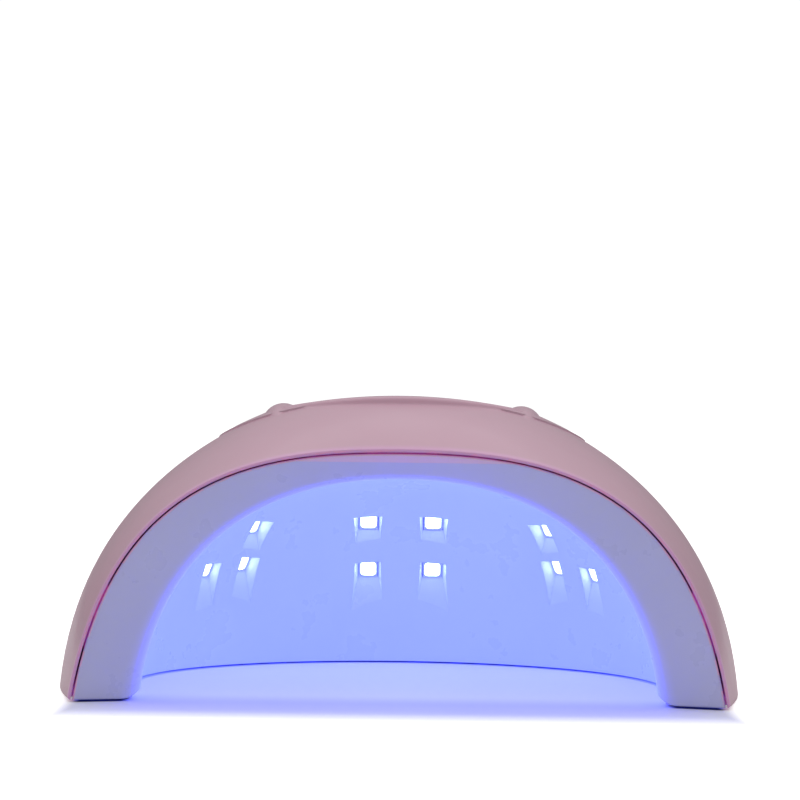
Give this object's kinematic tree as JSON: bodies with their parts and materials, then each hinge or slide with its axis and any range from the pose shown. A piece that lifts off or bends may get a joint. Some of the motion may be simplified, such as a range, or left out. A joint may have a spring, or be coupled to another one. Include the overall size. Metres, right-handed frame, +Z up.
{
  "type": "uv led nail lamp",
  "caption": "Dome-shaped nail lamp, open at the front for a hand, with a white reflector liner, recessed UV LEDs and timer buttons on an oval deck.",
  "frame": {"origin": "on the surface the lamp stands on, under the centre of its outline", "axes": "+Z up, +Y from the open front towards the rounded rear, +X to the right as seen from the open front"},
  "size_m": [0.2004, 0.1572, 0.0871],
  "materials": {
    "shell_pink": "gloss",
    "liner_white": "satin",
    "panel_plastic": "gloss",
    "button_plastic": "gloss",
    "switch_plastic": "matte",
    "clear_plastic": "gloss",
    "circuit_board": "satin",
    "component_plastic": "matte",
    "led_package": "satin",
    "led_window": "gloss",
    "sensor_window": "gloss",
    "base_white": "matte",
    "screw_steel": "satin",
    "foot_rubber": "matte",
    "jack_plastic": "gloss",
    "jack_metal": "satin",
    "wire_jacket": "satin"
  },
  "bodies": {
    "lamp_body": {"outer_shell": "shell_pink", "control_panel": "panel_plastic", "switch_bodies": "switch_plastic", "indicator_pipes": "clear_plastic", "indicator_leds": "led_package", "control_board": "circuit_board", "board_components": "component_plastic", "control_board_screws": "screw_steel", "inner_liner": "liner_white", "led_board_back": "circuit_board", "led_board_left": "circuit_board", "led_board_right": "circuit_board", "led_board_ceiling": "circuit_board", "leds_back": "led_package", "leds_left": "led_package", "leds_right": "led_package", "leds_ceiling": "led_package", "led_windows_back": "led_window", "led_windows_left": "led_window", "led_windows_right": "led_window", "led_windows_ceiling": "led_window", "led_board_screws": "screw_steel", "sensor_board": "circuit_board", "sensor_eyes": "sensor_window", "base_ring": "base_white", "base_screws": "screw_steel", "foot_front_left": "foot_rubber", "foot_front_right": "foot_rubber", "foot_rear_left": "foot_rubber", "foot_rear_right": "foot_rubber", "dc_jack": "jack_plastic", "jack_pin": "jack_metal", "jack_nut": "jack_metal", "power_lead": "wire_jacket", "led_leads": "wire_jacket", "sensor_lead": "wire_jacket"},
    "button_left_body": {"button_left": "button_plastic", "switch_plunger_left": "switch_plastic"},
    "button_middle_body": {"button_middle": "button_plastic", "switch_plunger_middle": "switch_plastic"},
    "button_right_body": {"button_right": "button_plastic", "switch_plunger_right": "switch_plastic"}
  },
  "joints": [
    {"name": "button_left_press", "type": "slide", "parent": "lamp_body", "child": "button_left_body", "axis": [0, 0, -1], "range_m": [0, 0.0005], "stiffness_N_per_m": 900, "springref_m": -0.0006},
    {"name": "button_middle_press", "type": "slide", "parent": "lamp_body", "child": "button_middle_body", "axis": [0, 0, -1], "range_m": [0, 0.0005], "stiffness_N_per_m": 900, "springref_m": -0.0006},
    {"name": "button_right_press", "type": "slide", "parent": "lamp_body", "child": "button_right_body", "axis": [0, 0, -1], "range_m": [0, 0.0005], "stiffness_N_per_m": 900, "springref_m": -0.0006}
  ]
}
